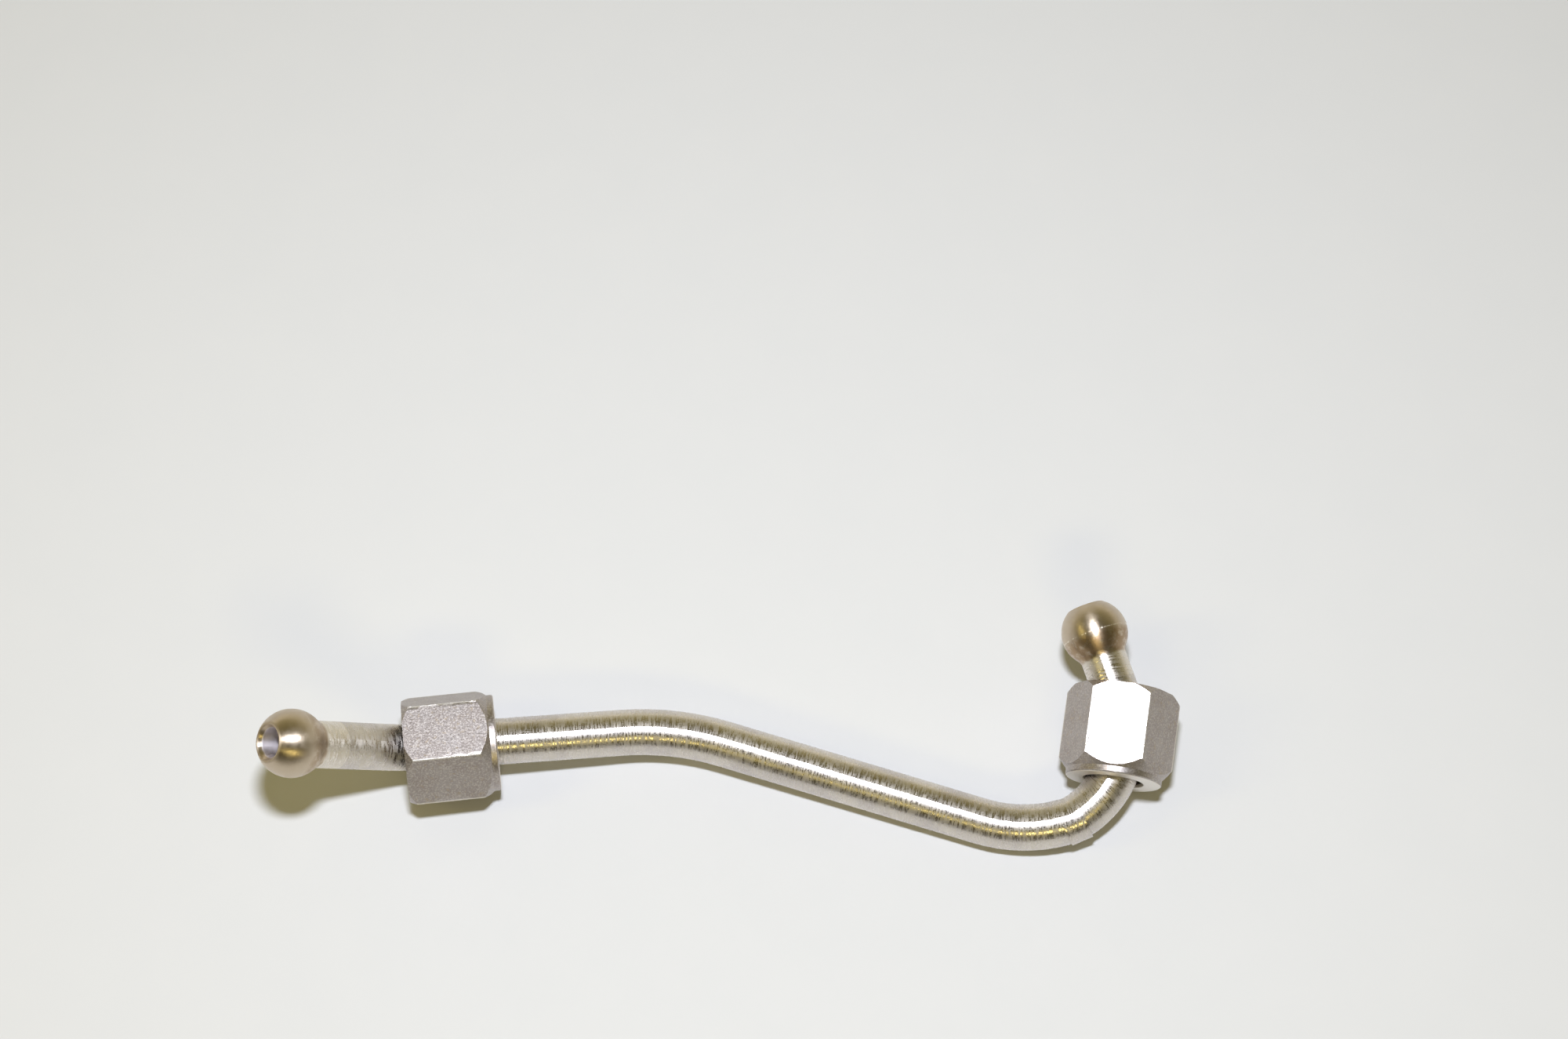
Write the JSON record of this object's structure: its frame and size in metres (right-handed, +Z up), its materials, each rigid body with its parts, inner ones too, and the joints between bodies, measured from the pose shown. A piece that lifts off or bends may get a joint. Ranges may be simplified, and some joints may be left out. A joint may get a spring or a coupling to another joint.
{
  "type": "fuel line",
  "caption": "Bent high-pressure steel fuel line with a ball nose at each end and loose hexagon union nuts that turn on it.",
  "frame": {"origin": "middle of the footprint, on the floor that the line lies on", "axes": "+X along the line from the straight run's left end to its hooked end, +Y the way the hooked end points, +Z up"},
  "size_m": [0.1566, 0.042, 0.0316],
  "materials": {
    "line_steel": "satin, drawn along the tube, pale nickel tone",
    "left_nut_steel": "matt hexagon with turned chamfers and collar",
    "right_nut_steel": "matt hexagon with turned chamfers and collar"
  },
  "bodies": {
    "tube": {"line_tube": "line_steel"},
    "left_nut": {"left_nut": "left_nut_steel"},
    "right_nut": {"right_nut": "right_nut_steel"}
  },
  "joints": [
    {"name": "left_nut_spin", "type": "hinge", "parent": "tube", "child": "left_nut", "pos_m": [-0.03984, -0.00288, 0.00842], "axis": [-0.9906, -0.1269, 0.0506], "continuous": true},
    {"name": "right_nut_spin", "type": "hinge", "parent": "tube", "child": "right_nut", "pos_m": [0.06651, -0.01003, 0.00842], "axis": [0.1543, 0.9744, 0.1633], "continuous": true}
  ]
}
